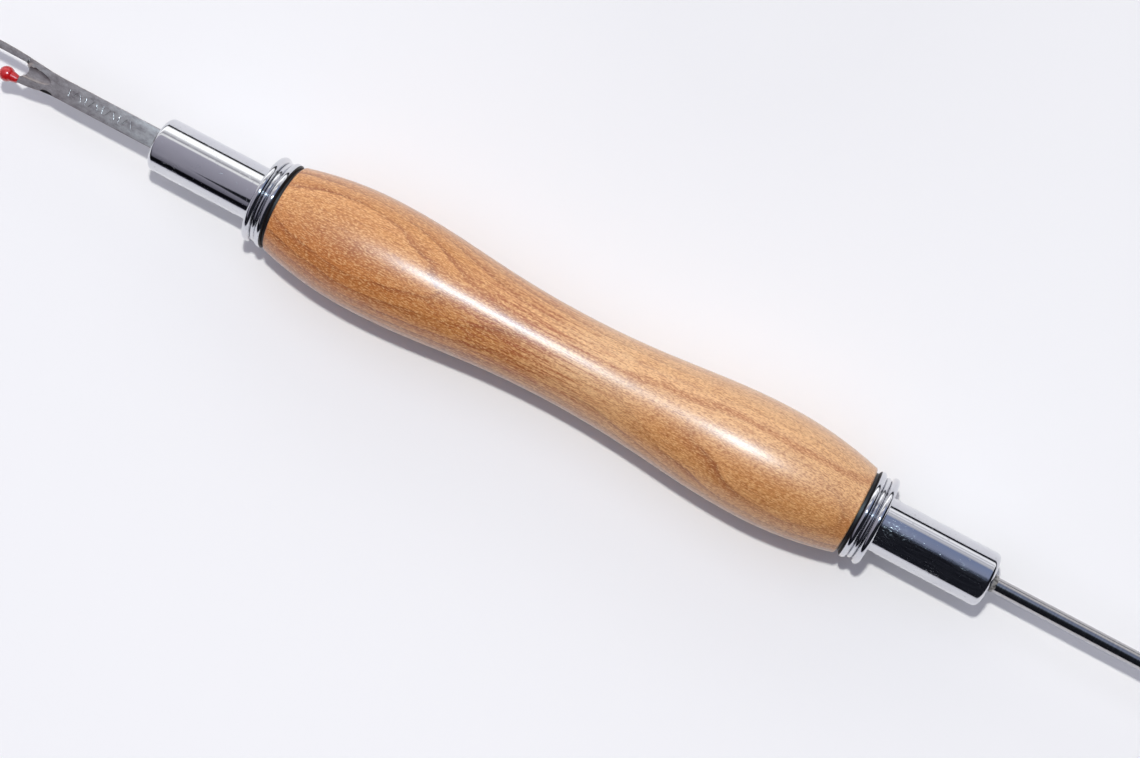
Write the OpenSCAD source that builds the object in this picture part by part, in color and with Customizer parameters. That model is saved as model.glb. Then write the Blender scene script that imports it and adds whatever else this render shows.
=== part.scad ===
// Double-ended sewing tool: a turned wooden handle with a seam ripper in one end and a stiletto in the other.
// It lies on its two bulges with its axis along X. The ripper points to -X and the stiletto to +X.
// Each tool is held in its metal ferrule by an O-ring, and pulls out to be stored point first in the handle.

/* [Handle] */
// Length of the turned wood
handle_l = 101; // [100.4:0.1:130]
// Diameter over each of the two bulges
bulge_d = 18.9; // [17:0.1:24]
// Diameter at the waist
waist_d = 14.7; // [13.5:0.1:16.5]
// Distance from each end of the wood to its bulge
bulge_from_end = 16.2; // [14:0.1:18]
// Radius of the curve from a bulge down to the end of the wood
end_curve_r = 62; // [58:1:90]
// Rounding of the edge at each end of the wood
end_edge_r = 0.4; // [0.2:0.1:0.6]
// Diameter of the hole drilled through the wood
drill_d = 11; // [10.8:0.1:11.4]
// Wall of the metal tube that lines each half of the hole
tube_wall = 0.3; // [0.2:0.05:0.4]
// Length of each lining tube
tube_l = 50; // [40:1:50]

/* [Ferrule] */
// Width of the narrow neck between the wood and the first bead
neck_l = 0.5; // [0.3:0.1:0.7]
// Radius of the neck and of the core that the beads stand on
neck_r = 6.7; // [6.4:0.1:6.8]
// Diameter over the two large beads
bead_d = 14.7; // [14.5:0.1:15.5]
// Width of each large bead
bead_w = 1.3; // [1:0.05:1.5]
// Diameter over the small rib between them
rib_d = 13.8; // [13.6:0.1:14.2]
// Width of the small rib with the fine groove on each side of it
rib_w = 0.9; // [0.7:0.05:1]
// How deep a tool's holder goes before it meets the stop
seat_depth = 9.9; // [9:0.1:12]
// Thickness of the lip that is the stop
stop_t = 1; // [0.8:0.1:1.5]
// Radius of the hole in the stop
stop_r = 4; // [3.6:0.1:4.2]

/* [O-ring] */
// Thickness of the O-ring
oring_t = 1; // [0.9:0.02:1]
// Gap between the O-ring and the metal around it
oring_gap = 0.02; // [0.01:0.01:0.04]
// Width of the groove that holds the O-ring
oring_groove_w = 1.1; // [1.06:0.01:1.2]
// Distance from the end of the wood to the middle of the O-ring
oring_at = 1.7; // [1.5:0.1:2]

/* [Tool holders] */
// Diameter of the holder that each tool is glued into
holder_d = 9; // [8.8:0.1:9]
// Length of each holder
holder_l = 28.8; // [26:0.1:32]
// Rounding of the edge at each end of a holder
holder_edge_r = 0.9; // [0.4:0.1:1.2]
// Gap all round between a holder and its ferrule
holder_gap = 0.05; // [0.02:0.01:0.08]
// Width of the shallow groove that shows outside the ferrule when a holder isn't home
mark_w = 0.8; // [0.7:0.1:1.2]
// Depth of that groove
mark_depth = 0.25; // [0.2:0.05:0.4]
// Depth that each tool goes into its holder
socket_l = 10; // [8:0.5:12]

/* [Seam ripper] */
// Width of the ripper's flat shank
shank_w = 3.4; // [3:0.1:3.6]
// Thickness of the shank
shank_t = 1.6; // [1.3:0.1:1.8]
// Thickness of the fork
fork_t = 1.1; // [0.9:0.1:1.2]
// How far the shank sits off the handle's axis, towards the long tine
shank_off = 0.2; // [0:0.05:0.3]
// Length of the shank, from its holder to where it starts to widen
neck_at = 18.3; // [16:0.1:20]
// Distance from the holder to the cutting edge, the bottom of the fork's gap
edge_at = 24.4; // [23:0.1:26]
// Width of the fork's gap
gap_w = 2.4; // [2:0.1:2.6]
// Distance from the holder to the sharp tip of the long tine
blade_reach = 37.3; // [35:0.1:40]
// Distance from the shank's middle to the outside of the long tine
long_tine_y = 2.4; // [2.2:0.05:2.6]
// Distance from the shank's middle to the outside of the short tine
short_tine_y = 2.65; // [2.4:0.05:2.8]
// Distance from the holder to the middle of the ball
ball_at = 27.4; // [26.5:0.1:28]
// Distance from the shank's middle to the middle of the ball
ball_y = 1.9; // [1.8:0.05:2.2]
// Diameter of the ball
ball_d = 2.56; // [2.3:0.02:2.7]

/* [Stiletto] */
// Diameter of the stiletto
rod_d = 2.4; // [2:0.1:3]
// Length of the stiletto outside its holder
rod_reach = 45; // [38:0.5:60]
// Length of the taper that ends in the point
taper_l = 18; // [10:0.5:25]

/* [Hidden] */
$fn = 96;

// The outline of the wood: how strongly its curve is held level at the waist and at the bulge
WAIST_HOLD = 0.45;
BULGE_HOLD = 0.35;
CURVE_STEPS = 14;
ARC_STEPS = 8;
EDGE_STEPS = 4;

half_l = handle_l / 2;
bulge_r = bulge_d / 2;
waist_r = waist_d / 2;
bulge_z = half_l - bulge_from_end;
drill_r = drill_d / 2;
tube_r = drill_r - tube_wall;

holder_r = holder_d / 2;
seat_r = holder_r + holder_gap;
ferrule_l = neck_l + 2 * bead_w + rib_w;
holder_out = holder_l - seat_depth;
oring_r = oring_t / 2;
groove_r = holder_r + oring_t + 2 * oring_gap;

// Distance from the end of the wood to the outer face of either holder
holder_face = ferrule_l + holder_out;

// The origin is below the middle of the whole tool
ripper_reach = half_l + holder_face + blade_reach;
stiletto_reach = half_l + holder_face + rod_reach;
handle_x = (ripper_reach - stiletto_reach) / 2;
axis_z = bulge_r;

TO_RIPPER = -1;
TO_STILETTO = 1;
OVER = 1;

// Puts children at one end of the wood: their +Z points out along the handle's axis
module at_end(side, out = 0) {
    translate([handle_x + side * (half_l + out), 0, axis_z])
        rotate([0, side * 90, 0])
            children();
}

// A ring turned about the axis, from inner to outer radius, between two places along it
module band(inner, outer, from, to) {
    translate([inner, from])
        square([outer - inner, to - from]);
}

// The wood's outline as [radius, place along the axis], from its middle out to one end
function waist_curve(t) = [
    waist_r + (bulge_r - waist_r) * (3 * t * t - 2 * t * t * t),
    bulge_z * (3 * WAIST_HOLD * t * (1 - t) * (1 - t) + 3 * (1 - BULGE_HOLD) * t * t * (1 - t) + t * t * t)
];
function end_curve_at(z) = bulge_r - end_curve_r + sqrt(pow(end_curve_r, 2) - pow(z - bulge_z, 2));
edge_z = half_l - end_edge_r;
function end_curve(t) = let(z = bulge_z + t * (edge_z - bulge_z)) [end_curve_at(z), z];
function edge_curve(a) = [
    end_curve_at(edge_z) - end_edge_r * (1 - cos(a)),
    edge_z + end_edge_r * sin(a)
];
half_outline = concat(
    [for (i = [0:CURVE_STEPS - 1]) waist_curve(i / CURVE_STEPS)],
    [for (i = [0:ARC_STEPS - 1]) end_curve(i / ARC_STEPS)],
    [for (i = [0:EDGE_STEPS]) edge_curve(90 * i / EDGE_STEPS)]
);
last = len(half_outline) - 1;
outline = concat(
    [for (i = [last:-1:1]) [half_outline[i][0], -half_outline[i][1]]],
    half_outline
);

module wood_handle() {
    color("peru")
        translate([handle_x, 0, axis_z])
            rotate([0, 90, 0])
                rotate_extrude()
                    polygon(concat([[drill_r, -half_l]], outline, [[drill_r, half_l]]));
}

module tube() {
    color("goldenrod")
        rotate_extrude()
            band(tube_r, drill_r, -tube_l, 0);
}

// A bead is a band with a round back
module bead(outer, from, width) {
    translate([outer - width / 2, from + width / 2])
        circle(d = width, $fn = 48);
    band(neck_r - OVER, outer - width / 2, from, from + width);
}

module ferrule() {
    sleeve_in = seat_depth + stop_t - ferrule_l;
    color("silver")
        rotate_extrude()
            difference() {
                union() {
                    band(stop_r, tube_r, -sleeve_in, 0);
                    band(stop_r, neck_r, 0, ferrule_l - bead_w / 2);
                    bead(bead_d / 2, neck_l, bead_w);
                    bead(rib_d / 2, neck_l + bead_w, rib_w);
                    bead(bead_d / 2, ferrule_l - bead_w, bead_w);
                }
                band(0, seat_r, ferrule_l - seat_depth, ferrule_l + OVER);
                band(0, groove_r, oring_at - oring_groove_w / 2, oring_at + oring_groove_w / 2);
            }
}

module oring() {
    color("dimgray")
        rotate_extrude()
            translate([holder_r + oring_gap + oring_r, oring_at])
                circle(r = oring_r, $fn = 48);
}

// A holder reaches inwards from its outer face, where its socket opens
module holder(socket_r) {
    color("silver")
        difference() {
            rotate_extrude() {
                band(0, holder_r - holder_edge_r, -holder_l, 0);
                band(0, holder_r, holder_edge_r - holder_l, -holder_edge_r);
                for (z = [-holder_edge_r, holder_edge_r - holder_l])
                    translate([holder_r - holder_edge_r, z])
                        circle(r = holder_edge_r, $fn = 48);
            }
            rotate_extrude()
                band(holder_r - mark_depth, holder_r + OVER, -holder_out - mark_w, -holder_out);
            translate([0, 0, -socket_l])
                cylinder(r = socket_r, h = socket_l + OVER);
        }
}

// The socket has to take the corners of the ripper's flat shank
ripper_socket_r = 2.2;
// Distance from the shank's middle to the sharp tip
TIP_Y = 1.75;
// The stretch of the long tine over which its back curves in to the tip, and its last straight
TIP_CURVE_L = 5;
TIP_STRAIGHT_L = 2;
TIP_STRAIGHT_IN = 0.35;
// The long tine reaches its full width this far past the cutting edge, and lacks this much at the edge
FLARE_L = 5;
FLARE_IN = 0.3;
// The slanted end of the short tine, which the ball covers
END_IN = 0.3;
END_OUT = 0.4;
END_L = 0.6;

// The blade's outline: sideways towards the long tine, and outwards from the holder
module fork_outline() {
    gap_r = gap_w / 2;
    difference() {
        polygon([
            [-shank_w / 2, 0], [shank_w / 2, 0], [shank_w / 2, neck_at],
            [long_tine_y - FLARE_IN, edge_at], [long_tine_y, edge_at + FLARE_L],
            [long_tine_y, blade_reach - TIP_CURVE_L], [TIP_Y + TIP_STRAIGHT_IN, blade_reach - TIP_STRAIGHT_L],
            [TIP_Y, blade_reach], [gap_r, blade_reach - TIP_CURVE_L], [gap_r, ball_at],
            [-gap_r - END_IN, ball_at], [-short_tine_y + END_OUT, ball_at],
            [-short_tine_y, ball_at - ball_d / 2 - END_L]
        ]);
        translate([0, edge_at + gap_r])
            circle(r = gap_r, $fn = 48);
        translate([-gap_r, edge_at + gap_r])
            square([gap_w, blade_reach]);
    }
}

// Stands a flat outline up along the blade, centred on its thickness
module stamped(thickness) {
    translate([0, shank_off, 0])
        rotate([90, 0, 90])
            linear_extrude(height = thickness, center = true)
                children();
}

module blade_shape() {
    stamped(fork_t)
        fork_outline();
    stamped(shank_t)
        translate([-shank_w / 2, -socket_l])
            square([shank_w, socket_l + neck_at]);
}

// The ball is drawn out behind into a short tail that grips the short tine
module ball_shape() {
    tail_l = 2;
    tail_r = 0.7;
    tail_start_r = ball_d / 2 - 0.22;
    translate([0, shank_off - ball_y, ball_at])
        rotate_extrude() {
            intersection() {
                circle(d = ball_d, $fn = 64);
                translate([0, -ball_d])
                    square(2 * ball_d);
            }
            polygon([[0, 0], [0, -tail_l], [tail_r, -tail_l], [tail_start_r, -ball_d / 4]]);
        }
}

module ripper_blade() {
    color("lightslategray")
        at_end(TO_RIPPER, holder_face)
            blade_shape();
}

module ripper_ball() {
    color("red")
        at_end(TO_RIPPER, holder_face)
            difference() {
                ball_shape();
                blade_shape();
            }
}

// Glue fills the mouth of the ripper's socket round the shank
module ripper_glue() {
    plug_l = 3;
    rise = 0.25;
    color("ivory")
        at_end(TO_RIPPER, holder_face)
            difference() {
                union() {
                    translate([0, 0, -plug_l])
                        cylinder(r = ripper_socket_r, h = plug_l);
                    cylinder(r1 = ripper_socket_r, r2 = ripper_socket_r - rise, h = rise);
                }
                blade_shape();
            }
}

module stiletto_rod() {
    point_r = 0.1;
    shoulder_r = 0.4;
    shoulder_l = 3;
    color("gainsboro")
        at_end(TO_STILETTO, holder_face)
            rotate_extrude()
                polygon([
                    [0, -socket_l], [rod_d / 2, -socket_l], [rod_d / 2, rod_reach - taper_l],
                    [shoulder_r, rod_reach - shoulder_l], [point_r, rod_reach], [0, rod_reach]
                ]);
}

// A lump of glue stands round the foot of the stiletto, thick at its foot and thin at its top
module stiletto_glue() {
    rise = 1.4;
    bend_at = 0.5;
    foot = 0.6;
    bend = 0.3;
    top = 0.12;
    rod_r = rod_d / 2;
    color("darkgray")
        at_end(TO_STILETTO, holder_face)
            rotate_extrude()
                polygon([
                    [rod_r, 0], [rod_r + foot, 0], [rod_r + bend, bend_at], [rod_r + top, rise], [rod_r, rise]
                ]);
}

wood_handle();
at_end(TO_RIPPER) tube();  // ripper_tube
at_end(TO_STILETTO) tube();  // stiletto_tube
at_end(TO_RIPPER) ferrule();  // ripper_ferrule
at_end(TO_STILETTO) ferrule();  // stiletto_ferrule
at_end(TO_RIPPER) oring();  // ripper_oring
at_end(TO_STILETTO) oring();  // stiletto_oring
at_end(TO_RIPPER, holder_face) holder(ripper_socket_r);  // ripper_holder
at_end(TO_STILETTO, holder_face) holder(rod_d / 2);  // stiletto_holder
ripper_blade();
ripper_ball();
ripper_glue();
stiletto_rod();
stiletto_glue();
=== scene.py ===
# %% [markdown]
# # A seam ripper and a stiletto in one turned handle
# The real tool is a slim wooden handle, turned on a lathe and polished. A chrome ferrule at each end
# holds a chrome holder by an O-ring. A forked seam ripper is glued into the left holder and a round
# steel stiletto into the right one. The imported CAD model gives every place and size. This script adds
# what a maker sees: turned curves, wood figure, plating, stamped and ground steel.

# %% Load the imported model
import math

import bmesh
import bpy
from mathutils import Matrix, Vector


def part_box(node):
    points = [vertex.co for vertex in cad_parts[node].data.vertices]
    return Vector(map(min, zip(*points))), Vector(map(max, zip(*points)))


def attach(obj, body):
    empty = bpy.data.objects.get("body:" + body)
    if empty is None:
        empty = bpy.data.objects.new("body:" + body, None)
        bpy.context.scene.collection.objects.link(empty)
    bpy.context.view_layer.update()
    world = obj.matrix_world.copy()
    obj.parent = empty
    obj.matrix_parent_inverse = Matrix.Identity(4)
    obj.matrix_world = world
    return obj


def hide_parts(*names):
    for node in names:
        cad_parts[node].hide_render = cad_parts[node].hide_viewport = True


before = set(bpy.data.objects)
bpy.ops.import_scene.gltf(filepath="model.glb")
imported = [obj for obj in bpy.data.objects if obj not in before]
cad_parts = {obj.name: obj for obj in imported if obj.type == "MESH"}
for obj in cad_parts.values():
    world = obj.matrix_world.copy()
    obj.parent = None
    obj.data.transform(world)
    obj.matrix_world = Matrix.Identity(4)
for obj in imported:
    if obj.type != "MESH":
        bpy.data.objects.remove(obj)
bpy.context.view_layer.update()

MM = 0.001

# %% [markdown]
# ## Places along the tool
# Everything but the flat ripper is round about one axis, which lies along X. So a place on this tool is
# a distance along X and a radius. Both are read from the CAD nodes, so that a change there moves these.

# %% Read the driving places from the frame
wood_lo, wood_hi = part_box("wood_handle")
BULGE_R = (wood_hi.z - wood_lo.z) / 2
AXIS_Z = wood_lo.z + BULGE_R
HANDLE_X = (wood_lo.x + wood_hi.x) / 2
HALF_WOOD = (wood_hi.x - wood_lo.x) / 2
RIPPER_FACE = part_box("ripper_holder")[0].x
STILETTO_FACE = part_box("stiletto_holder")[1].x
print("axis height", round(AXIS_Z / MM, 2), "mm, middle of the wood at", round(HANDLE_X / MM, 2), "mm")

# %% [markdown]
# ## Two helpers for colours and nodes
# Paint charts and colour pickers give sRGB codes, while a shader works in linear light, so one function
# turns the one into the other. The second adds a node with its settings and links in one line, so that
# each material below can be read as a recipe.

# %% Helpers for colours and nodes


def srgb(code):
    """Turns an sRGB hex colour such as "c08040" into the linear colour that a shader takes."""
    shares = [int(code[i : i + 2], 16) / 255 for i in (0, 2, 4)]
    linear = [s / 12.92 if s <= 0.04045 else ((s + 0.055) / 1.055) ** 2.4 for s in shares]
    return (*linear, 1.0)


def add(tree, kind, inputs=None, stops=None, out=0, **settings):
    """Adds a node and gives back an output. An input gets a value or an output. Stops fill a ramp."""
    made = tree.nodes.new("ShaderNode" + kind)
    for name, value in settings.items():
        setattr(made, name, value)
    for name, value in (inputs or {}).items():
        if isinstance(value, bpy.types.NodeSocket):
            tree.links.new(value, made.inputs[name])
        else:
            made.inputs[name].default_value = value
    if stops:
        ramp = made.color_ramp.elements
        for place, code in stops[1:-1]:
            ramp.new(place).color = srgb(code)
        for end in (0, -1):
            ramp[end].position = stops[end][0]
            ramp[end].color = srgb(stops[end][1])
    return made.outputs[out] if made.outputs else None


def start_finish(name, **values):
    """Gives a new material, its nodes, its shader, and the place in mm from the axis' middle."""
    material = bpy.data.materials.new(name)
    material.use_nodes = True
    tree = material.node_tree
    shader = tree.nodes["Principled BSDF"]
    for socket, value in values.items():
        shader.inputs[socket.replace("_", " ")].default_value = value
    place = add(tree, "TexCoord", out="Object")
    to_middle = (-HANDLE_X / MM, 0, -AXIS_Z / MM)
    spot = add(tree, "Mapping", {"Vector": place, "Scale": (1 / MM,) * 3, "Location": to_middle})
    return material, tree, shader, spot


def give_finish(piece, material):
    """Puts one material on a whole piece."""
    piece.data.materials.clear()
    piece.data.materials.append(material)


# %% [markdown]
# ## Camera, floor and light
# The tool lies on a white table and is seen from straight above the right half of the handle, turned so
# that it runs down to the right. The table has matt white paint with a painted shade under the lamp: it
# is painted a little darker there and paler outwards, which makes up for the lamp being brighter there.
# A small bright lamp close to the camera gives the crisp narrow shadow and the long highlight on the
# wood. It is two lights in one place: one lights what it falls on, and the other, which is cooler, is
# only seen as the glint on polish and metal. A large soft panel fills the shadow.

# %% Put up the camera
CAMERA_DISTANCE = 350 * MM
CAMERA_LEAN = math.radians(4.88)
CAMERA_ROLL = math.radians(27.92)
CAMERA_LENS = 70.9
AIM_ALONG = 1.89 * MM
AIM_ACROSS = -2.69 * MM
aim = Vector((HANDLE_X + AIM_ALONG, AIM_ACROSS, AXIS_Z))
back = Vector((math.sin(CAMERA_LEAN), 0, math.cos(CAMERA_LEAN)))
along = Vector((math.cos(CAMERA_LEAN), 0, -math.sin(CAMERA_LEAN)))
across = Vector((0, 1, 0))
right = math.cos(CAMERA_ROLL) * along + math.sin(CAMERA_ROLL) * across
up = math.cos(CAMERA_ROLL) * across - math.sin(CAMERA_ROLL) * along

bpy.ops.object.select_all(action="DESELECT")
bpy.ops.object.camera_add(location=aim + CAMERA_DISTANCE * back)
camera = bpy.context.object
camera.name = "camera"
camera.rotation_euler = Matrix((right, up, back)).transposed().to_euler()
camera.data.sensor_width = 36
camera.data.lens = CAMERA_LENS
camera.data.clip_start = 10 * MM
bpy.context.scene.camera = camera
bpy.context.scene.view_settings.view_transform = "Standard"
print("camera stands at", [round(place / MM) for place in camera.location], "mm")

# %% Lay the white table
TABLE_SIZE = 6
LAMP_FOOT = (0, 70, -9)
TONED_FROM = 20
TONED_TO = 190
bpy.ops.mesh.primitive_plane_add(size=TABLE_SIZE, location=(0, 0, wood_lo.z))
table = bpy.context.object
table.name = "table"
finish = {"Roughness": 0.6, "Specular IOR Level": 0.2}
white_table, tree, shader, spot = start_finish("matt_white_paint_with_painted_shade", **finish)
# Painted shade: the paint is darker near the lamp's foot and paler outwards, which evens out the lamp's
# pool of light.
from_lamp = add(tree, "VectorMath", {0: spot, 1: LAMP_FOOT}, out="Value", operation="DISTANCE")
out_of_painted_shade = add(tree, "MapRange", {"Value": from_lamp, "From Min": TONED_FROM, "From Max": TONED_TO})
paint = add(tree, "Mix", {0: out_of_painted_shade, 6: srgb("dfdfe2"), 7: srgb("f6f6f8")}, out=2, data_type="RGBA")
tree.links.new(paint, shader.inputs["Base Color"])
give_finish(table, white_table)
print("a table", TABLE_SIZE, "m across, toned from", TONED_FROM, "to", TONED_TO, "mm from the lamp's foot")

# %% Hang the lamp and the soft panel
LAMP_UP = 400 * MM
LAMP_PLACE = Vector((HANDLE_X - 3 * MM, 68 * MM, AXIS_Z + LAMP_UP))
LAMP_SIZE = 19 * MM
PANEL_PLACE = (-0.4, 0, 1.1)
PANEL_SIZE = 1.6
PANEL_WATTS = 4.8
for name, watts, colour in (
    ("lamp_beside_camera", 1.12, (1.0, 0.985, 0.92)),
    ("cool_glint_of_the_lamp", 1.3, (0.66, 0.88, 1.0)),
):
    bpy.ops.object.light_add(type="AREA", location=LAMP_PLACE)
    lamp = bpy.context.object
    lamp.name = name
    lamp.data.shape = "DISK"
    lamp.data.size = LAMP_SIZE
    lamp.data.energy = watts
    lamp.data.color = colour
    lamp.rotation_euler = (LAMP_PLACE - Vector((HANDLE_X, 0, 0))).to_track_quat("Z", "Y").to_euler()
    lamp.visible_glossy = name == "cool_glint_of_the_lamp"
    lamp.visible_diffuse = not lamp.visible_glossy

bpy.ops.object.light_add(type="AREA", location=PANEL_PLACE)
panel = bpy.context.object
panel.name = "soft_panel"
panel.data.shape = "SQUARE"
panel.data.size = PANEL_SIZE
panel.data.energy = PANEL_WATTS
panel.data.color = (0.84, 0.86, 1.0)
panel.visible_glossy = False
print("a lamp, its glint, and a soft panel that the chrome doesn't mirror")

# %% [markdown]
# ## The room that the chrome mirrors
# Chrome has no colour of its own, so its look is what stands round it. Seen across the tool, a round
# holder mirrors the room as bands: a dark skirting at the table's edge, a bright window low on the far
# side, a grey ceiling, and on the near side a dark screen that leans in over the right end. A
# direction's turn about the X axis picks its band. Its lean along X tells the left side of the room from
# the right, where the window has bars, and says where the dark screen starts.

# %% Find a direction's turn and lean
world = bpy.data.worlds.new("room")
world.use_nodes = True
bpy.context.scene.world = world
room = world.node_tree
room.nodes.clear()
direction = add(room, "TexCoord", out="Generated")
sideways = add(room, "SeparateXYZ", {"Vector": direction}, out="X")
far = add(room, "SeparateXYZ", {"Vector": direction}, out="Y")
upward = add(room, "SeparateXYZ", {"Vector": direction}, out="Z")
turn = add(room, "Math", {0: far, 1: upward}, operation="ARCTAN2")
flat = add(room, "VectorMath", {0: direction, 1: (0, 1, 1)}, operation="MULTIPLY")
upright = add(room, "VectorMath", {0: flat}, out="Value", operation="LENGTH")
lean = add(room, "Math", {0: sideways, 1: upright}, operation="ARCTAN2")
print("turn and lean take", len(room.nodes), "nodes")

# %% Choose the bands
# Each stop is a turn about X in degrees, with 0 straight up and 90 level on the far side, and its tone.
LEFT_BANDS = [
    (-96, "30303a"), (-88, "30303a"), (-84, "08080c"), (-69, "08080c"), (-65, "5c5a64"), (-52, "6e6c76"),
    (-46, "7c7a84"), (-30, "807e88"), (29, "96949e"), (33, "dcdcdc"), (38, "d4d4d4"), (42, "88868c"),
    (47, "a4a4a8"), (53, "c4c4c6"), (59, "ffffff"), (78, "ffffff"), (81, "a8a8a8"), (84, "08080c"),
    (92, "08080c"),
]
RIGHT_BANDS = [
    (-96, "30303a"), (-88, "30303a"), (-84, "08080c"), (-20, "40424c"), (0, "626a7e"), (10, "757c92"),
    (42, "6c7792"), (47, "a4a4aa"), (53, "b8b8bc"), (57, "9c9ca4"), (61, "d8d8dc"), (65, "c8c8cc"),
    (67, "94949c"), (70, "dcdcde"), (78, "e4e4e6"), (81, "606068"), (84, "08080c"), (92, "08080c"),
]
print("the room has", len(LEFT_BANDS), "stops on its left and", len(RIGHT_BANDS), "on its right")

# %% Paint the bands
RIGHT_FROM = math.radians(-5)
RIGHT_TO = math.radians(1)
share = add(room, "MapRange", {"Value": turn, "From Min": -math.pi, "From Max": math.pi})
ramps = [[(0.5 + degrees / 360, code) for degrees, code in bands] for bands in (LEFT_BANDS, RIGHT_BANDS)]
left_room = add(room, "ValToRGB", {"Fac": share}, stops=ramps[0])
right_room = add(room, "ValToRGB", {"Fac": share}, stops=ramps[1])
on_right = add(room, "MapRange", {"Value": lean, "From Min": RIGHT_FROM, "From Max": RIGHT_TO})
bands = add(room, "Mix", {0: on_right, 6: left_room, 7: right_room}, out=2, data_type="RGBA")
print("the right side of the room is reached at a lean of", round(math.degrees(RIGHT_TO)), "degree")

# %% Stand the dark screen in front
# The screen is a wedge that starts at its tip and opens to the right. Its upper edge is ragged.
SCREEN_SLOPE = 2.4
TIP_LEAN = math.radians(-18.4)
TIP_TURN = math.radians(-41.5)
SCREEN_TOP = math.radians(3)
RAGGED = math.radians(34)
SOFT = 0.05
spread = add(room, "CombineXYZ", {"X": lean, "Y": turn})
close_up = add(room, "Mapping", {"Vector": spread, "Scale": (420, 9, 1)})
frayed = add(room, "TexNoise", {"Vector": close_up, "Scale": 1.0, "Detail": 4.0})
limits = {"From Min": 0.3, "From Max": 0.7, "To Min": -RAGGED / 2, "To Max": RAGGED / 2}
ragged = add(room, "MapRange", {"Value": frayed, **limits})
ragged = add(room, "Math", {0: ragged, 1: on_right}, operation="MULTIPLY")
rise = add(room, "Math", {0: lean, 1: TIP_LEAN}, operation="SUBTRACT")
top = add(room, "Math", {0: rise, 1: SCREEN_SLOPE, 2: TIP_TURN}, operation="MULTIPLY_ADD")
top = add(room, "Math", {0: top, 1: SCREEN_TOP}, operation="MINIMUM")
top = add(room, "Math", {0: top, 1: ragged}, operation="ADD")
foot = add(room, "Math", {0: rise, 1: -SCREEN_SLOPE, 2: TIP_TURN}, operation="MULTIPLY_ADD")
below_top = add(room, "Math", {0: top, 1: turn}, operation="SUBTRACT")
below_top = add(room, "MapRange", {"Value": below_top, "From Min": 0, "From Max": SOFT})
above_foot = add(room, "Math", {0: turn, 1: foot}, operation="SUBTRACT")
above_foot = add(room, "MapRange", {"Value": above_foot, "From Min": 0, "From Max": SOFT})
in_screen = add(room, "Math", {0: below_top, 1: above_foot}, operation="MULTIPLY")
print("the screen starts at a lean of", round(math.degrees(TIP_LEAN), 1), "degrees")

# %% Put the room together
END_WALL_FROM = math.radians(32)
END_WALL_TO = math.radians(38)
ROOM_STRENGTH = 1.5
end_wall = add(room, "MapRange", {"Value": lean, "From Min": END_WALL_FROM, "From Max": END_WALL_TO})
dark = add(room, "Math", {0: in_screen, 1: end_wall}, operation="MAXIMUM")
dark_tone = add(room, "ValToRGB", {"Fac": frayed}, stops=[(0.5, "08090f"), (0.75, "44464e")])
seen = add(room, "Mix", {0: dark, 6: bands, 7: dark_tone}, out=2, data_type="RGBA")
background = add(room, "Background", {"Color": seen, "Strength": ROOM_STRENGTH})
add(room, "OutputWorld", {"Surface": background})
print("the room has", len(room.nodes), "nodes")

# %% [markdown]
# ## Turning on a lathe
# Wood, ferrules, holders, the ball and the stiletto are all lathe work, so they are made as a turner
# makes them: half of the outline is drawn, and then spun once round the axis. The outline is a chain
# that one point is extruded along. Round corners are arcs in it, so the finished piece has real
# rounded edges and needs no bevel.

# %% Draw an outline


def arc(x, radius, bend, start, end, steps=8):
    """Points of an arc about (x, radius), from one angle to another in degrees. 0 points along +X."""
    angles = [math.radians(start + (end - start) * i / steps) for i in range(steps + 1)]
    return [(x + bend * math.cos(angle), radius + bend * math.sin(angle)) for angle in angles]


def draw_chain(name, points):
    """Draws a chain of edges as by hand: a small plane, merged to one point, is extruded along it."""
    bpy.ops.object.select_all(action="DESELECT")
    bpy.ops.mesh.primitive_plane_add(size=MM, location=points[0])
    piece = bpy.context.object
    piece.name = name
    bpy.ops.object.mode_set(mode="EDIT")
    bpy.ops.mesh.merge(type="CENTER")
    for here, there in zip(points, points[1:]):
        bpy.ops.mesh.extrude_vertices_move(TRANSFORM_OT_translate={"value": there - here})
    return piece


print("a quarter round is drawn with", len(arc(0, 0, 1, 0, 90)), "points")

# %% Spin an outline
SAME_POINT = 0.001 * MM


def settle(piece, crease=30):
    """Leaves edit mode, puts the piece's place into its mesh, and smooths all but its sharp edges."""
    bpy.ops.object.mode_set(mode="OBJECT")
    bpy.ops.object.transform_apply(location=True, rotation=True, scale=True)
    bpy.ops.object.shade_smooth_by_angle(angle=math.radians(crease))
    print(piece.name, "has", len(piece.data.polygons), "faces")
    return piece


def turn_piece(name, outline, steps=128, axis_y=0.0):
    """Spins an outline of (x, radius) points about an axis along X. Ends on it become closed poles."""
    points = [Vector((x, axis_y, AXIS_Z + radius)) for x, radius in outline]
    piece = draw_chain(name, points)
    bpy.ops.mesh.select_all(action="SELECT")
    bpy.ops.mesh.spin(
        steps=steps, angle=2 * math.pi, center=(0, axis_y, AXIS_Z), axis=(1, 0, 0), use_auto_merge=True
    )
    bpy.ops.mesh.select_all(action="SELECT")
    bpy.ops.mesh.remove_doubles(threshold=SAME_POINT)
    bpy.ops.mesh.normals_make_consistent(inside=False)
    return settle(piece)


# %% [markdown]
# ## The turned handle
# The maker cuts a blank of cherry to length, drills it for the lining tubes, and turns two bulges with
# a slim waist between them, which is where two fingers and a thumb hold it. The waist's curve runs
# level at the waist and at the bulge, so it is drawn as a Bezier curve with level handles. From each
# bulge down to its ferrule the shape is one large arc, and the end's edge is eased.

# %% Choose the handle's curves
WAIST_R = 7.35 * MM
BULGE_AT = HALF_WOOD - 16.2 * MM
END_CURVE_R = 62 * MM
EDGE_R = 0.4 * MM
DRILL_R = 5.5 * MM
WAIST_HOLD = 0.45
BULGE_HOLD = 0.35


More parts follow.
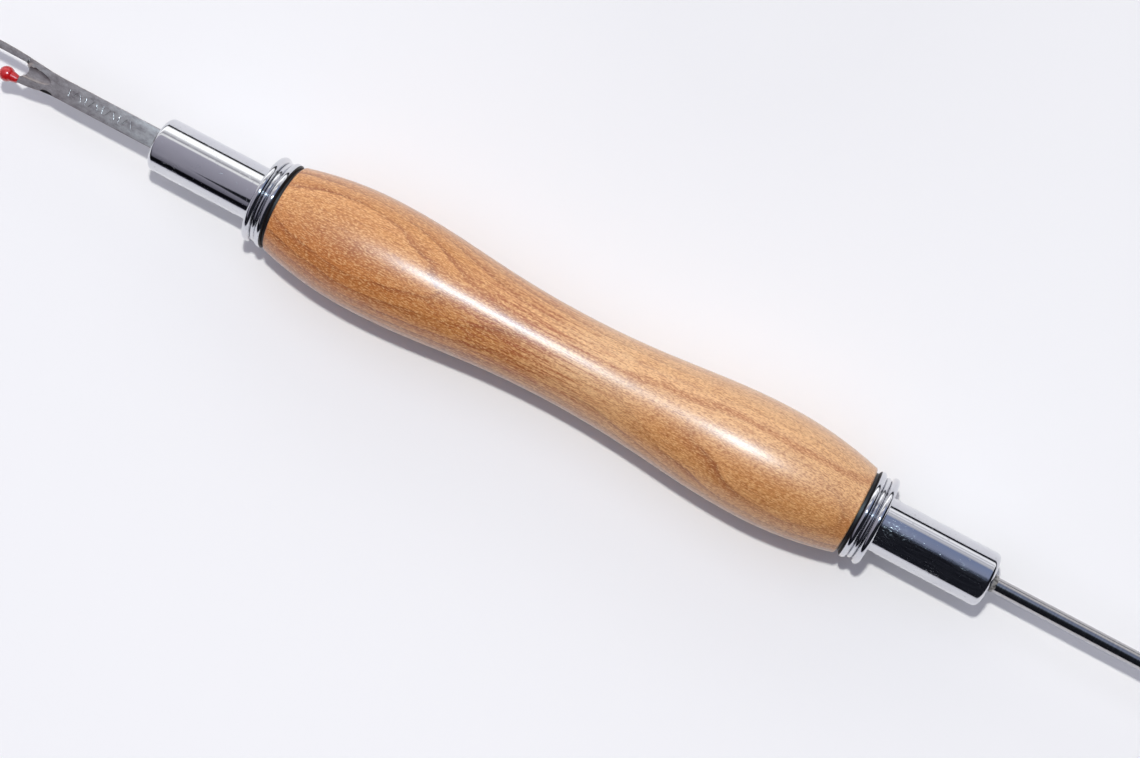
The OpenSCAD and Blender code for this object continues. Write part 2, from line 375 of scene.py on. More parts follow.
def waist_curve(t):
    """A point from the waist, at t = 0, out to the bulge, at t = 1."""
    rise = 3 * t**2 - 2 * t**3
    run = 3 * WAIST_HOLD * t * (1 - t) ** 2 + 3 * (1 - BULGE_HOLD) * t**2 * (1 - t) + t**3
    return BULGE_AT * run, WAIST_R + (BULGE_R - WAIST_R) * rise


def end_radius(x):
    """The radius of the wood between a bulge and its end."""
    return BULGE_R - END_CURVE_R + math.sqrt(END_CURVE_R**2 - (x - BULGE_AT) ** 2)


EDGE_AT = HALF_WOOD - EDGE_R
print("the wood's end is", round(2 * end_radius(EDGE_AT) / MM, 1), "mm across")

# %% Turn the handle
half = [waist_curve(i / 40) for i in range(40)]
half += [(x, end_radius(x)) for x in (BULGE_AT + (EDGE_AT - BULGE_AT) * i / 20 for i in range(20))]
half += arc(EDGE_AT, end_radius(EDGE_AT) - EDGE_R, EDGE_R, 90, 0)
outline = [(-x, radius) for x, radius in reversed(half[1:])] + half
bore = [(-HALF_WOOD, DRILL_R)]
outline = bore + outline + [(HALF_WOOD, DRILL_R)] + bore
handle = turn_piece("turned_handle", [(HANDLE_X + x, radius) for x, radius in outline])

# %% Place it on its body
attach(handle, "handle")
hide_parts("wood_handle")
print(handle.name, "stands for wood_handle")

# %% [markdown]
# ## Cherry with a friction polish
# The blank is sawn so that its yearly layers lie almost flat, with the trunk's middle far below. Where a
# bulge is turned through such layers they show as long loops, like height lines on a map, and at the
# waist they run on as stripes. One dark year runs along the far side of the right half. That far side,
# which faces the lamp, is painted paler as a painted sheen, with a painted highlight at the waist, and
# the near side of the left half is painted warmer and darker as a painted shade. Over them lie the
# fibres, as fine streaks along the handle, and short bright flecks where light goes into cut fibres.
# Fibres and flecks are about 0.2 mm wide here, which is several times coarser than in cherry, since
# finer ones wouldn't show. The polish is shellac and wax, rubbed on while the wood turns. It gives the
# eye a soft clear gloss over the colour.

# %% Find the yearly layers
POLISH = {"Coat Weight": 0.9, "Coat Roughness": 0.31, "Coat IOR": 1.5}
PITH = (0, -3, 55)
LAYER = 1.5
LAYER_TILT = (0, math.radians(1.2), math.radians(-17))
wood, tree, shader, spot = start_finish("friction_polished_cherry", Roughness=0.5, IOR=1.45, **POLISH)
skewed = add(tree, "Mapping", {"Vector": spot, "Location": PITH, "Rotation": LAYER_TILT})
across_trunk = add(tree, "VectorMath", {0: skewed, 1: (0, 1, 1)}, operation="MULTIPLY")
depth = add(tree, "VectorMath", {0: across_trunk}, out="Value", operation="LENGTH")
long_waves = add(tree, "Mapping", {"Vector": spot, "Scale": (0.045, 0.12, 0.12)})
waves = add(tree, "TexNoise", {"Vector": long_waves, "Scale": 1.0, "Detail": 3.0, "Roughness": 0.5})
limits = {"From Min": 0.2, "From Max": 0.8, "To Min": -0.7, "To Max": 0.7}
waviness = add(tree, "MapRange", {"Value": waves, **limits})
wavy_depth = add(tree, "Math", {0: depth, 1: waviness}, operation="ADD")
layers = add(tree, "Math", {0: wavy_depth, 1: LAYER}, operation="DIVIDE")
in_layer = add(tree, "Math", {0: layers}, operation="FRACT")
print("a year is", LAYER, "mm deep")

# %% Colour the layers
layer_stops = [
    (0.0, "d0945a"), (0.25, "cb8d51"), (0.6, "bf7f43"), (0.82, "a45f29"), (0.9, "8a4519"),
    (0.96, "bf8148"), (1.0, "d0945a"),
]
layer_tone = add(tree, "ValToRGB", {"Fac": in_layer}, stops=layer_stops)
patches = add(tree, "Mapping", {"Vector": spot, "Scale": (0.06, 0.2, 0.2)})
patchy = add(tree, "TexNoise", {"Vector": patches, "Scale": 1.0})
limits = {"From Min": 0.38, "From Max": 0.62, "To Min": 0.35, "To Max": 0.95}
strength = add(tree, "MapRange", {"Value": patchy, **limits})
inputs = {0: strength, 6: srgb("c6894d"), 7: layer_tone}
colour = add(tree, "Mix", inputs, out=2, data_type="RGBA")
print("a layer has", len(layer_stops), "tones")

# %% Paint sheen on the far side and shade on the near side
side_x = add(tree, "SeparateXYZ", {"Vector": spot}, out="X")
side_y = add(tree, "SeparateXYZ", {"Vector": spot}, out="Y")
# Painted sheen: the far side of the right half, which faces the lamp, is painted paler.
to_right = add(tree, "MapRange", {"Value": side_x, "From Min": -22, "From Max": 8})
to_far = add(tree, "MapRange", {"Value": side_y, "From Min": -2.5, "From Max": 2.5, "To Min": 0.1})
far_side_painted_sheen = add(tree, "Math", {0: to_right, 1: to_far}, operation="MULTIPLY")
# Painted highlight: a pale spot on top of the waist, where the lamp's highlight spreads.
PAINTED_HIGHLIGHT_AT_WAIST = (5, 3.2, 6)
waist = add(tree, "VectorMath", {0: spot, 1: PAINTED_HIGHLIGHT_AT_WAIST}, out="Value", operation="DISTANCE")
waist = add(tree, "MapRange", {"Value": waist, "From Min": 15, "From Max": 3, "To Max": 1.35})
painted_sheen = add(tree, "Math", {0: far_side_painted_sheen, 1: waist}, operation="MAXIMUM")
painted_sheen = add(tree, "Math", {0: painted_sheen, 1: 0.5}, operation="MULTIPLY")
colour = add(tree, "Mix", {0: painted_sheen, 6: colour, 7: srgb("e4bf95")}, out=2, data_type="RGBA")
# Painted shade: the near side of the left half, away from the lamp, is painted warmer and darker.
to_left = add(tree, "MapRange", {"Value": side_x, "From Min": -8, "From Max": -36})
to_near = add(tree, "MapRange", {"Value": side_y, "From Min": 1.5, "From Max": -3.5, "To Max": 0.8})
painted_shade_near_side = add(tree, "Math", {0: to_left, 1: to_near}, operation="MULTIPLY")
inputs = {0: painted_shade_near_side, 6: colour, 7: srgb("f2cf9c")}
colour = add(tree, "Mix", inputs, out=2, data_type="RGBA", blend_type="MULTIPLY")
print("the palest spot at the waist lies at", PAINTED_HIGHLIGHT_AT_WAIST, "mm")

# %% Draw one dark year along the far side
YEAR_SLOPE = -0.072
YEAR_SIDE = -1.7
run = add(tree, "Math", {0: side_x, 1: YEAR_SLOPE, 2: YEAR_SIDE}, operation="MULTIPLY_ADD")
beside = add(tree, "Math", {0: side_y, 1: run}, operation="ADD")
beside = add(tree, "Math", {0: waviness, 1: 1.6, 2: beside}, operation="MULTIPLY_ADD")
beside = add(tree, "Math", {0: beside}, operation="ABSOLUTE")
dark_year = add(tree, "MapRange", {"Value": beside, "From Min": 0.7, "From Max": 0.1, "To Max": 0.6})
fade_in = add(tree, "MapRange", {"Value": side_x, "From Min": -6, "From Max": 3})
dark_year = add(tree, "Math", {0: dark_year, 1: fade_in}, operation="MULTIPLY")
colour = add(tree, "Mix", {0: dark_year, 6: colour, 7: srgb("a05a2a")}, out=2, data_type="RGBA")
print("the dark year starts", -YEAR_SIDE, "mm off the axis")

# %% Lay fibres and stripes over it
drawn_out = add(tree, "Mapping", {"Vector": spot, "Scale": (0.22, 4.2, 4.2)})
fibres = add(tree, "TexNoise", {"Vector": drawn_out, "Scale": 1.0, "Detail": 3.0, "Roughness": 0.6})
fibre_tone = add(tree, "ValToRGB", {"Fac": fibres}, stops=[(0.32, "bd9272"), (0.5, "ffffff")])
inputs = {0: 0.6, 6: colour, 7: fibre_tone}
colour = add(tree, "Mix", inputs, out=2, data_type="RGBA", blend_type="MULTIPLY")
long_lines = add(tree, "Mapping", {"Vector": spot, "Scale": (0.09, 2.6, 2.6)})
lines = add(tree, "TexNoise", {"Vector": long_lines, "Scale": 1.0, "Detail": 2.0})
stripes = add(tree, "MapRange", {"Value": lines, "From Min": 0.47, "From Max": 0.58, "To Max": 1.0})
STRIPED_SPOT = (-7, -5, 5)
near_waist = add(tree, "VectorMath", {0: spot, 1: STRIPED_SPOT}, out="Value", operation="DISTANCE")
limits = {"From Min": 18, "From Max": 8, "To Min": 0.12, "To Max": 0.85}
near_waist = add(tree, "MapRange", {"Value": near_waist, **limits})
stripes = add(tree, "Math", {0: stripes, 1: near_waist}, operation="MULTIPLY")
colour = add(tree, "Mix", {0: stripes, 6: colour, 7: srgb("9a4a20")}, out=2, data_type="RGBA")
print("the stripes are strongest round", STRIPED_SPOT, "mm")

# %% Lay flecks and pores over it
CUT_DEPTH = 0.012 * MM
THROUGH_POLISH = 0.005 * MM
grainy = add(tree, "Mapping", {"Vector": spot, "Scale": (1.8, 6.0, 6.0)})
flecks = add(tree, "TexNoise", {"Vector": grainy, "Scale": 1.0, "Detail": 2.0, "Roughness": 0.6})
bright = add(tree, "MapRange", {"Value": flecks, "From Min": 0.5, "From Max": 0.67, "To Max": 0.6})
colour = add(tree, "Mix", {0: bright, 6: colour, 7: srgb("efc48b")}, out=2, data_type="RGBA")
pores = add(tree, "MapRange", {"Value": flecks, "From Min": 0.49, "From Max": 0.32, "To Max": 0.65})
colour = add(tree, "Mix", {0: pores, 6: colour, 7: srgb("94551f")}, out=2, data_type="RGBA")
tree.links.new(colour, shader.inputs["Base Color"])
cut_fibres = add(tree, "Bump", {"Height": flecks, "Distance": CUT_DEPTH})
tree.links.new(cut_fibres, shader.inputs["Normal"])
through_polish = add(tree, "Bump", {"Height": flecks, "Distance": THROUGH_POLISH})
tree.links.new(through_polish, shader.inputs["Coat Normal"])
give_finish(handle, wood)
print("the wood has", len(tree.nodes), "nodes")

# %% [markdown]
# ## The ferrules
# Each ferrule is one piece of brass, turned and then chromed: a sleeve that is pressed into the lining
# tube, a narrow neck against the wood, a large bead, a fine rib and a second large bead. Inside it has
# a groove for the O-ring and a lip that stops the holder. The neck is what shows as a dark line
# between wood and metal. One ferrule is turned, and the other is a copy, turned half round about the
# middle of the handle.

# %% Measure the ferrule
WOOD_END = HANDLE_X + HALF_WOOD
ferrule_lo, ferrule_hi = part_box("stiletto_ferrule")
SLEEVE_END = ferrule_lo.x - WOOD_END
FERRULE_L = ferrule_hi.x - WOOD_END
BEAD_TOP = ferrule_hi.z - AXIS_Z
HOLDER_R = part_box("stiletto_holder")[1].z - AXIS_Z
TUBE_R = 5.2 * MM
NECK_R = 6.7 * MM
NECK_L = 0.5 * MM
BEAD_W = 1.3 * MM
RIB_W = FERRULE_L - NECK_L - 2 * BEAD_W
RIB_TOP = 6.9 * MM
SEAT_R = HOLDER_R + 0.05 * MM
STOP_R = 4 * MM
STOP_T = 1 * MM
SLEEVE_CHAMFER = 0.2 * MM
LIP_ROUND = 0.15 * MM
GROOVE_FROM = 1.15 * MM
GROOVE_TO = 2.25 * MM
GROOVE_R = HOLDER_R + 1.04 * MM
print("a ferrule shows", round(FERRULE_L / MM, 2), "mm, and its rib is", round(RIB_W / MM, 2), "mm wide")

# %% Turn the ferrules


def bead(start, width, top):
    """The round back of a bead or rib that starts at a place along the ferrule."""
    bend = width / 2
    return arc(start + bend, top - bend, bend, 180, 0, steps=16)


outline = [(SLEEVE_END, STOP_R), (SLEEVE_END, TUBE_R - SLEEVE_CHAMFER)]
outline += [(SLEEVE_END + SLEEVE_CHAMFER, TUBE_R), (0, TUBE_R), (0, NECK_R), (NECK_L, NECK_R)]
outline += bead(NECK_L, BEAD_W, BEAD_TOP)
outline += bead(NECK_L + BEAD_W, RIB_W, RIB_TOP)
outline += bead(NECK_L + BEAD_W + RIB_W, BEAD_W, BEAD_TOP)
outline += arc(FERRULE_L - LIP_ROUND, SEAT_R + LIP_ROUND, LIP_ROUND, 0, -90, steps=4)
outline += [(GROOVE_TO, SEAT_R), (GROOVE_TO, GROOVE_R), (GROOVE_FROM, GROOVE_R), (GROOVE_FROM, SEAT_R)]
outline += [(SLEEVE_END + STOP_T, SEAT_R), (SLEEVE_END + STOP_T, STOP_R), (SLEEVE_END, STOP_R)]
right_ferrule = turn_piece("chrome_ferrule_stiletto", [(WOOD_END + x, radius) for x, radius in outline])


def copy_to_other_end(piece, name):
    """A copy with its own mesh, turned half round about the upright through the handle's middle."""
    bpy.ops.object.select_all(action="DESELECT")
    piece.select_set(True)
    bpy.context.view_layer.objects.active = piece
    bpy.ops.object.duplicate(linked=False)
    copied = bpy.context.object
    copied.name = name
    bpy.ops.object.mode_set(mode="EDIT")
    bpy.ops.mesh.select_all(action="SELECT")
    bpy.ops.transform.rotate(value=math.pi, orient_axis="Z", center_override=(HANDLE_X, 0, AXIS_Z))
    bpy.ops.object.mode_set(mode="OBJECT")
    return copied


left_ferrule = copy_to_other_end(right_ferrule, "chrome_ferrule_ripper")

# %% Place the ferrules
for piece, node in ((right_ferrule, "stiletto_ferrule"), (left_ferrule, "ripper_ferrule")):
    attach(piece, "handle")
    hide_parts(node)
    print(piece.name, "stands for", node)

# %% [markdown]
# ## Bright chrome
# The ferrules and holders are plated with nickel and then with a very thin layer of chrome. The metal
# is a slightly bluish light grey. Turning leaves faint rings round it, and handling leaves hairline
# scratches along it and small specks, which dull the mirror a little. Rings are drawn 0.1 mm apart and
# scratches 0.2 mm, many times coarser than real ones, so that they show. The narrow neck beside the
# wood is painted near black as a painted shade for the shade deep in that narrow gap, so that it reads
# as a crisp dark line.

# %% Finish the chrome


def chrome_finish(name, mirror, scratched):
    """Bright chrome, from the roughness of its mirror and the roughness of the scratches in it."""
    chrome, tree, shader, spot = start_finish(name, Metallic=1.0)
    clouds = add(tree, "Mapping", {"Vector": spot, "Scale": (0.15, 0.3, 0.3)})
    cloud = add(tree, "TexNoise", {"Vector": clouds, "Scale": 1.0, "Detail": 2.0})
    tint = add(tree, "ValToRGB", {"Fac": cloud}, stops=[(0.35, "d4d5da"), (0.65, "dcdde0")])
    slanted = add(tree, "Mapping", {"Vector": spot, "Scale": (1.3, 6.0, 6.0), "Rotation": (0, 0, 0.5)})
    hairs = add(tree, "TexNoise", {"Vector": slanted, "Scale": 1.0, "Detail": 3.0, "Distortion": 0.6})
    hairlines = add(tree, "MapRange", {"Value": hairs, "From Min": 0.55, "From Max": 0.68})
    rubbed = add(tree, "MapRange", {"Value": cloud, "From Min": 0.46, "From Max": 0.6})
    hairlines = add(tree, "Math", {0: hairlines, 1: rubbed}, operation="MULTIPLY")
    round_it = add(tree, "Mapping", {"Vector": spot, "Scale": (11.0, 0.05, 0.05)})
    rings = add(tree, "TexNoise", {"Vector": round_it, "Scale": 1.0})
    turning = add(tree, "MapRange", {"Value": rings, "From Min": 0.55, "From Max": 0.8, "To Max": 0.4})
    dots = add(tree, "TexNoise", {"Vector": spot, "Scale": 3.2, "Detail": 1.0})
    specks = add(tree, "MapRange", {"Value": dots, "From Min": 0.69, "From Max": 0.76})
    marks = add(tree, "Math", {0: hairlines, 1: turning}, operation="MAXIMUM")
    marks = add(tree, "Math", {0: marks, 1: specks}, operation="MAXIMUM")
    roughness = add(tree, "MapRange", {"Value": marks, "To Min": mirror, "To Max": scratched})
    tree.links.new(roughness, shader.inputs["Roughness"])
    tint = add(tree, "Mix", {0: specks, 6: tint, 7: srgb("b8b8bc")}, out=2, data_type="RGBA")
    tree.links.new(tint, shader.inputs["Base Color"])
    uneven = add(tree, "Mapping", {"Vector": spot, "Scale": (0.5, 0.8, 0.8)})
    ripple = add(tree, "TexNoise", {"Vector": uneven, "Scale": 1.0, "Detail": 1.0})
    bump = add(tree, "Bump", {"Height": ripple, "Distance": 0.004 * MM})
    tree.links.new(bump, shader.inputs["Normal"])
    return chrome


bright_chrome = chrome_finish("bright_chrome_on_turned_brass", mirror=0.075, scratched=0.12)
worn_chrome = chrome_finish("scratched_chrome_on_steel", mirror=0.05, scratched=0.3)
for piece in (left_ferrule, right_ferrule):
    give_finish(piece, bright_chrome)
print("two chromes, one of them worn")

# %% Paint shade into the necks
# Painted shade: the neck's faces get a near-black colour that stands in for the shade in the narrow gap.
NECK_SHADE_FROM = -0.01 * MM
NECK_SHADE_TO = NECK_L + 0.3 * MM
neck_painted_shade, tree, shader, spot = start_finish("painted_shade_in_the_neck", Roughness=0.5)
shade_mottle = add(tree, "TexNoise", {"Vector": spot, "Scale": 2.5, "Detail": 3.0})
tint = add(tree, "ValToRGB", {"Fac": shade_mottle}, stops=[(0.3, "08070a"), (0.7, "161418")])
tree.links.new(tint, shader.inputs["Base Color"])
for piece in (left_ferrule, right_ferrule):
    piece.data.materials.append(neck_painted_shade)
    for face in piece.data.polygons:
        out = abs(face.center.x - HANDLE_X) - HALF_WOOD
        radius = (face.center.yz - Vector((0, AXIS_Z))).length
        if NECK_SHADE_FROM < out < NECK_SHADE_TO and radius > TUBE_R:
            face.material_index = 1
print("the necks are black for", round(NECK_SHADE_TO / MM, 1), "mm")

# %% [markdown]
# ## The holders
# A holder is a plain chromed rod with rounded ends and a socket for its tool. A shallow groove marks
# how far it goes into the ferrule. At rest both holders sit on their stops, and the groove is hidden
# just inside the ferrule. It shows when a tool is pulled out.

# %% Turn the holders
HOLDER_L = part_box("stiletto_holder")[1].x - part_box("stiletto_holder")[0].x
HOLDER_EDGE = 0.9 * MM
HOME_AT = STILETTO_FACE - ferrule_hi.x
MARK_W = 0.8 * MM
MARK_DEPTH = 0.25 * MM
MARK_SLOPE = 0.1 * MM
SOCKET_L = 10 * MM
SOCKET_CHAMFER = 0.12 * MM


def holder_outline(socket_r):
    """A holder from its socket's floor out over its face and back to its inner end, with its face at 0."""
    edge = HOLDER_R - HOLDER_EDGE
    points = [(-SOCKET_L, 0), (-SOCKET_L, socket_r)]
    points += [(-SOCKET_CHAMFER, socket_r), (0, socket_r + SOCKET_CHAMFER)]
    points += arc(-HOLDER_EDGE, edge, HOLDER_EDGE, 0, 90, steps=12)
    points += [(-HOME_AT, HOLDER_R), (-HOME_AT - MARK_SLOPE, HOLDER_R - MARK_DEPTH)]
    points += [(-HOME_AT - MARK_W + MARK_SLOPE, HOLDER_R - MARK_DEPTH), (-HOME_AT - MARK_W, HOLDER_R)]
    points += arc(HOLDER_EDGE - HOLDER_L, edge, HOLDER_EDGE, 90, 180, steps=12)
    return points + [(-HOLDER_L, 0)]


ROD_R = 1.2 * MM
RIPPER_SOCKET_R = 2.2 * MM
right_holder = turn_piece(
    "chrome_holder_stiletto", [(STILETTO_FACE + x, radius) for x, radius in holder_outline(ROD_R)]
)
left_holder = turn_piece(
    "chrome_holder_ripper", [(RIPPER_FACE - x, radius) for x, radius in holder_outline(RIPPER_SOCKET_R)]
)
for piece, node, body in (
    (right_holder, "stiletto_holder", "stiletto_tool"),
    (left_holder, "ripper_holder", "ripper_tool"),
):
    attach(piece, body)
    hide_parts(node)
    print(piece.name, "stands for", node)

# %% Finish the holders
for piece in (left_holder, right_holder):
    give_finish(piece, worn_chrome)
    print(piece.name, "has", worn_chrome.name)

# %% [markdown]
# ## The stiletto
# A stiletto starts as bright drawn steel rod. It is ground to a long even taper, then polished, and
# the last few millimetres are brought to a point that is slightly blunt, so that it parts threads and
# doesn't cut them. Its foot is buried in the holder.

# %% Turn the stiletto
ROD_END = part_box("stiletto_rod")[1].x - STILETTO_FACE
TAPER_L = 18 * MM
SHOULDER_L = 3 * MM
SHOULDER_R = 0.4 * MM
POINT_R = 0.1 * MM


def taper_radius(share):
    """The taper's radius: it leaves the rod softly and is straight at the shoulder."""
    return ROD_R - (ROD_R - SHOULDER_R) * (0.7 * share + 0.3 * share**2)


TAPER_START = ROD_END - TAPER_L
EVEN_L = TAPER_L - SHOULDER_L
outline = [(-SOCKET_L, 0), (-SOCKET_L, ROD_R), (0, ROD_R)]
outline += [(TAPER_START + EVEN_L * i / 12, taper_radius(i / 12)) for i in range(13)]
outline += arc(ROD_END - POINT_R, 0, POINT_R, 75, 0, steps=6)
rod = turn_piece("steel_stiletto", [(STILETTO_FACE + x, radius) for x, radius in outline], steps=64)
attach(rod, "stiletto_tool")
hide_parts("stiletto_rod")

# %% [markdown]
# ## Polished steel
# The rod was polished as it turned, so its finest scratches run round it. They show as hair-thin rings
# of lighter and darker grey, and the mirror is softer than the chrome's. The rings are drawn 0.15 mm
# apart, which is coarser than real ones.

# %% Finish the stiletto
steel, tree, shader, spot = start_finish("polished_carbon_steel", Metallic=1.0)
round_it = add(tree, "Mapping", {"Vector": spot, "Scale": (7.0, 0.1, 0.1)})
rings = add(tree, "TexNoise", {"Vector": round_it, "Scale": 1.0, "Detail": 2.0})
tint = add(tree, "ValToRGB", {"Fac": rings}, stops=[(0.3, "a8a6a6"), (0.7, "c4c3c4")])
tree.links.new(tint, shader.inputs["Base Color"])
limits = {"From Min": 0.3, "From Max": 0.7, "To Min": 0.08, "To Max": 0.2}
tree.links.new(add(tree, "MapRange", {"Value": rings, **limits}), shader.inputs["Roughness"])
give_finish(rod, steel)
print(rod.name, "has", steel.name)

# %% [markdown]
# ## The ripper's blade
# The blade is stamped from a flat strip: a plain shank, then a fork with a long sharp tine and a short
# one. Stamping rounds its edges, and the fork is pressed thinner than the shank. Where the tines part,
# both faces are ground hollow, which leaves the small curved cutting edge at the bottom of the gap.
# It is drawn flat as an outline, filled, thickened, shaped along its length, bevelled, and then ground
# with an ellipsoid, much as it is made.

# %% Measure the blade
SHANK_Y = 0.2 * MM
SHANK_HALF = 1.7 * MM
SHANK_T = 1.6 * MM
NECK_AT = 18.3 * MM
EDGE_OF_GAP = 24.4 * MM
GAP_R = 1.2 * MM
BLADE_REACH = RIPPER_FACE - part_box("ripper_blade")[0].x
LONG_Y = 2.4 * MM
SHORT_Y = 2.35 * MM
TIP_Y = 1.8 * MM
BALL_AT = 27.4 * MM
BALL_Y = 1.9 * MM
LONG_FLARE_L = 5 * MM
TIP_CURVE_L = 6 * MM
TIP_FACE_L = 5 * MM
SHORT_FLARE_LATE = 0.8 * MM
GRIP_L = 2.2 * MM
TINE_END_HALF = 0.4 * MM
print("the long tine reaches", round(BLADE_REACH / MM, 1), "mm")

# %% Draw the blade's sides


def swell(t):
    """A soft step from 0 to 1."""
    return t * t * (3 - 2 * t)


def flare(side_y, start, end):
    """The blade's side from the shank's width out to a tine's, as a soft curve."""
    shares = [i / 10 for i in range(11)]
    return [(start + (end - start) * t, SHANK_HALF + (side_y - SHANK_HALF) * swell(t)) for t in shares]


long_side = [(-SOCKET_L, SHANK_HALF)] + flare(LONG_Y, NECK_AT, EDGE_OF_GAP + LONG_FLARE_L)
TIP_CURVE_AT = BLADE_REACH - TIP_CURVE_L
shares = [i / 8 for i in range(9)]
long_tip = [
    (TIP_CURVE_AT + (BLADE_REACH - TIP_CURVE_AT) * t, LONG_Y - (LONG_Y - TIP_Y) * t**2) for t in shares
]
gap = arc(EDGE_OF_GAP + GAP_R, 0, GAP_R, 90, 235, steps=18)
grip_from = BALL_AT - GRIP_L
inner_y = -BALL_Y + TINE_END_HALF
short_end = [(grip_from + 0.2 * MM, inner_y), (BALL_AT, inner_y), (BALL_AT, -BALL_Y - TINE_END_HALF)]
short_side = [(x, -y) for x, y in reversed(flare(SHORT_Y, NECK_AT + SHORT_FLARE_LATE, grip_from))]
outline = long_side + long_tip + [(BLADE_REACH - TIP_FACE_L, GAP_R)] + gap + short_end + short_side
outline += [(-SOCKET_L, -SHANK_HALF), (-SOCKET_L, SHANK_HALF)]
print("the blade's outline has", len(outline), "points")

# %% Fill the outline and thicken it
blade = draw_chain(
    "stamped_ripper_blade",
    [Vector((RIPPER_FACE - x, SHANK_Y + y, AXIS_Z - SHANK_T / 2)) for x, y in outline],
)
bpy.ops.mesh.select_all(action="SELECT")
bpy.ops.mesh.remove_doubles(threshold=SAME_POINT)
bpy.ops.mesh.edge_face_add()
bpy.ops.mesh.extrude_region_move(TRANSFORM_OT_translate={"value": (0, 0, SHANK_T)})
bpy.ops.mesh.select_all(action="SELECT")
bpy.ops.mesh.normals_make_consistent(inside=False)
print("it is", round(SHANK_T / MM, 1), "mm thick all over so far")

# %% Say how thick the blade is
# Each pair is a distance from the holder and the blade's thickness there, in millimetres.
THICKNESS = [(-10, 1.6), (15, 1.6), (18, 1.4), (21, 1.15), (25, 0.9), (31, 0.9), (35, 0.7), (37.4, 0.3)]


def thickness_at(reach):
    """The blade's thickness at a distance from its holder, both in millimetres."""
    for (start, thick), (end, thin) in zip(THICKNESS, THICKNESS[1:]):
        if reach <= end:
            return thick + (thin - thick) * (reach - start) / (end - start)
    return THICKNESS[-1][1]


print("the bottom of the gap is", round(thickness_at(EDGE_OF_GAP / MM), 2), "mm thick")

# %% Thin the fork and the tip
SAME_PLACE = 0.002 * MM


def select_at(piece, x):
    """In edit mode, selects the piece's points at one place along X."""
    points = bmesh.from_edit_mesh(piece.data)
    for point in points.verts:
        point.select = abs(point.co.x + piece.location.x - x) < SAME_PLACE
    points.select_flush(True)
    bmesh.update_edit_mesh(piece.data)


for reach, _ in THICKNESS[1:-1]:
    bpy.ops.mesh.select_all(action="SELECT")
    bpy.ops.mesh.bisect(plane_co=(RIPPER_FACE - reach * MM, 0, 0), plane_no=(1, 0, 0))
blade_points = bmesh.from_edit_mesh(blade.data).verts
stations = sorted({round((blade.location.x + point.co.x) / MM, 2) for point in blade_points})
for station in stations:
    bpy.ops.mesh.select_all(action="DESELECT")
    select_at(blade, station * MM)
    share = thickness_at(RIPPER_FACE / MM - station) * MM / SHANK_T
    bpy.ops.transform.resize(value=(1, 1, share), center_override=(0, 0, AXIS_Z))
bpy.ops.object.mode_set(mode="OBJECT")
bpy.ops.object.transform_apply(location=True, rotation=True, scale=True)
print("thinned the blade at", len(stations), "places")

# %% Round its edges


def apply_modifier(piece, kind, **settings):
    """Adds a modifier to a piece and applies it."""
    bpy.ops.object.select_all(action="DESELECT")
    piece.select_set(True)
    bpy.context.view_layer.objects.active = piece
    bpy.ops.object.modifier_add(type=kind)
    modifier = piece.modifiers[-1]
    for name, value in settings.items():
        setattr(modifier, name, value)
    bpy.ops.object.modifier_apply(modifier=modifier.name)


ROUND_OVER = {"limit_method": "ANGLE", "angle_limit": math.radians(50), "segments": 4}
apply_modifier(blade, "BEVEL", width=0.32 * MM, **ROUND_OVER)
print("rounded over, it has", len(blade.data.polygons), "faces")

# %% Grind the hollow and the nick
# The nick is a small gouge at the edge of the upper face, where the fork starts.
HOLLOW = (5.6 * MM, 1.15 * MM, 0.36 * MM)
HOLLOW_AT = 25.4 * MM
NICK = (1.1 * MM, 0.42 * MM, 0.8 * MM)
NICK_AT = 20.0 * MM
NICK_Y = -1.76 * MM
FORK_FACE = 0.5 * MM


def add_grinder(reach, y, half_sizes, face):
    """An ellipsoid that cuts into one face of the fork: 1 is the upper face and -1 the lower."""
    bpy.ops.object.select_all(action="DESELECT")
    place = (RIPPER_FACE - reach, SHANK_Y + y, AXIS_Z + face * FORK_FACE)
    bpy.ops.mesh.primitive_uv_sphere_add(segments=48, ring_count=24, location=place, scale=half_sizes)
    return bpy.context.object


def cut_away(piece, cutters):
    """Cuts the cutters' shapes out of a piece, and removes the cutters."""
    for cutter in cutters:
        apply_modifier(piece, "BOOLEAN", object=cutter, operation="DIFFERENCE", solver="EXACT")
        bpy.data.objects.remove(cutter)


cut_away(blade, [add_grinder(HOLLOW_AT, 0, HOLLOW, face) for face in (1, -1)])
nick = add_grinder(NICK_AT, NICK_Y, NICK, 1)
nick_place = nick.location.copy()
cut_away(blade, [nick])
print("hollowed at", HOLLOW_AT / MM, "mm and nicked at", NICK_AT / MM, "mm from the holder")

# %% Stamp a row of plain strokes
# Round cutters are let in by a part of their radius, and each leaves a shallow rounded stroke.
STROKES = 12
STROKE_PITCH = 1.02 * MM
FIRST_STROKE = 5.4 * MM
STROKE_R = 0.13 * MM
STROKE_L = 1.2 * MM
STROKE_LEANS = (28, -28, 4)
STROKE_OFF = 0.05 * MM
strokes = []
for i in range(STROKES):
    bpy.ops.object.select_all(action="DESELECT")
    reach = FIRST_STROKE + i * STROKE_PITCH
    top = AXIS_Z + thickness_at(reach / MM) * MM / 2
    lean_of_stroke = math.radians(STROKE_LEANS[i % 3])
    bpy.ops.mesh.primitive_cylinder_add(
        vertices=12,
        radius=STROKE_R,
        depth=STROKE_L,
        location=(RIPPER_FACE - reach, SHANK_Y + STROKE_OFF, top + STROKE_OFF),
        rotation=(math.radians(90), 0, lean_of_stroke),
    )
    strokes.append(bpy.context.object)
cut_away(blade, strokes)
print("stamped", STROKES, "strokes")

# %% Smooth the blade and place it
bpy.ops.object.mode_set(mode="EDIT")
settle(blade, crease=35)
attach(blade, "ripper_tool")
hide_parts("ripper_blade")
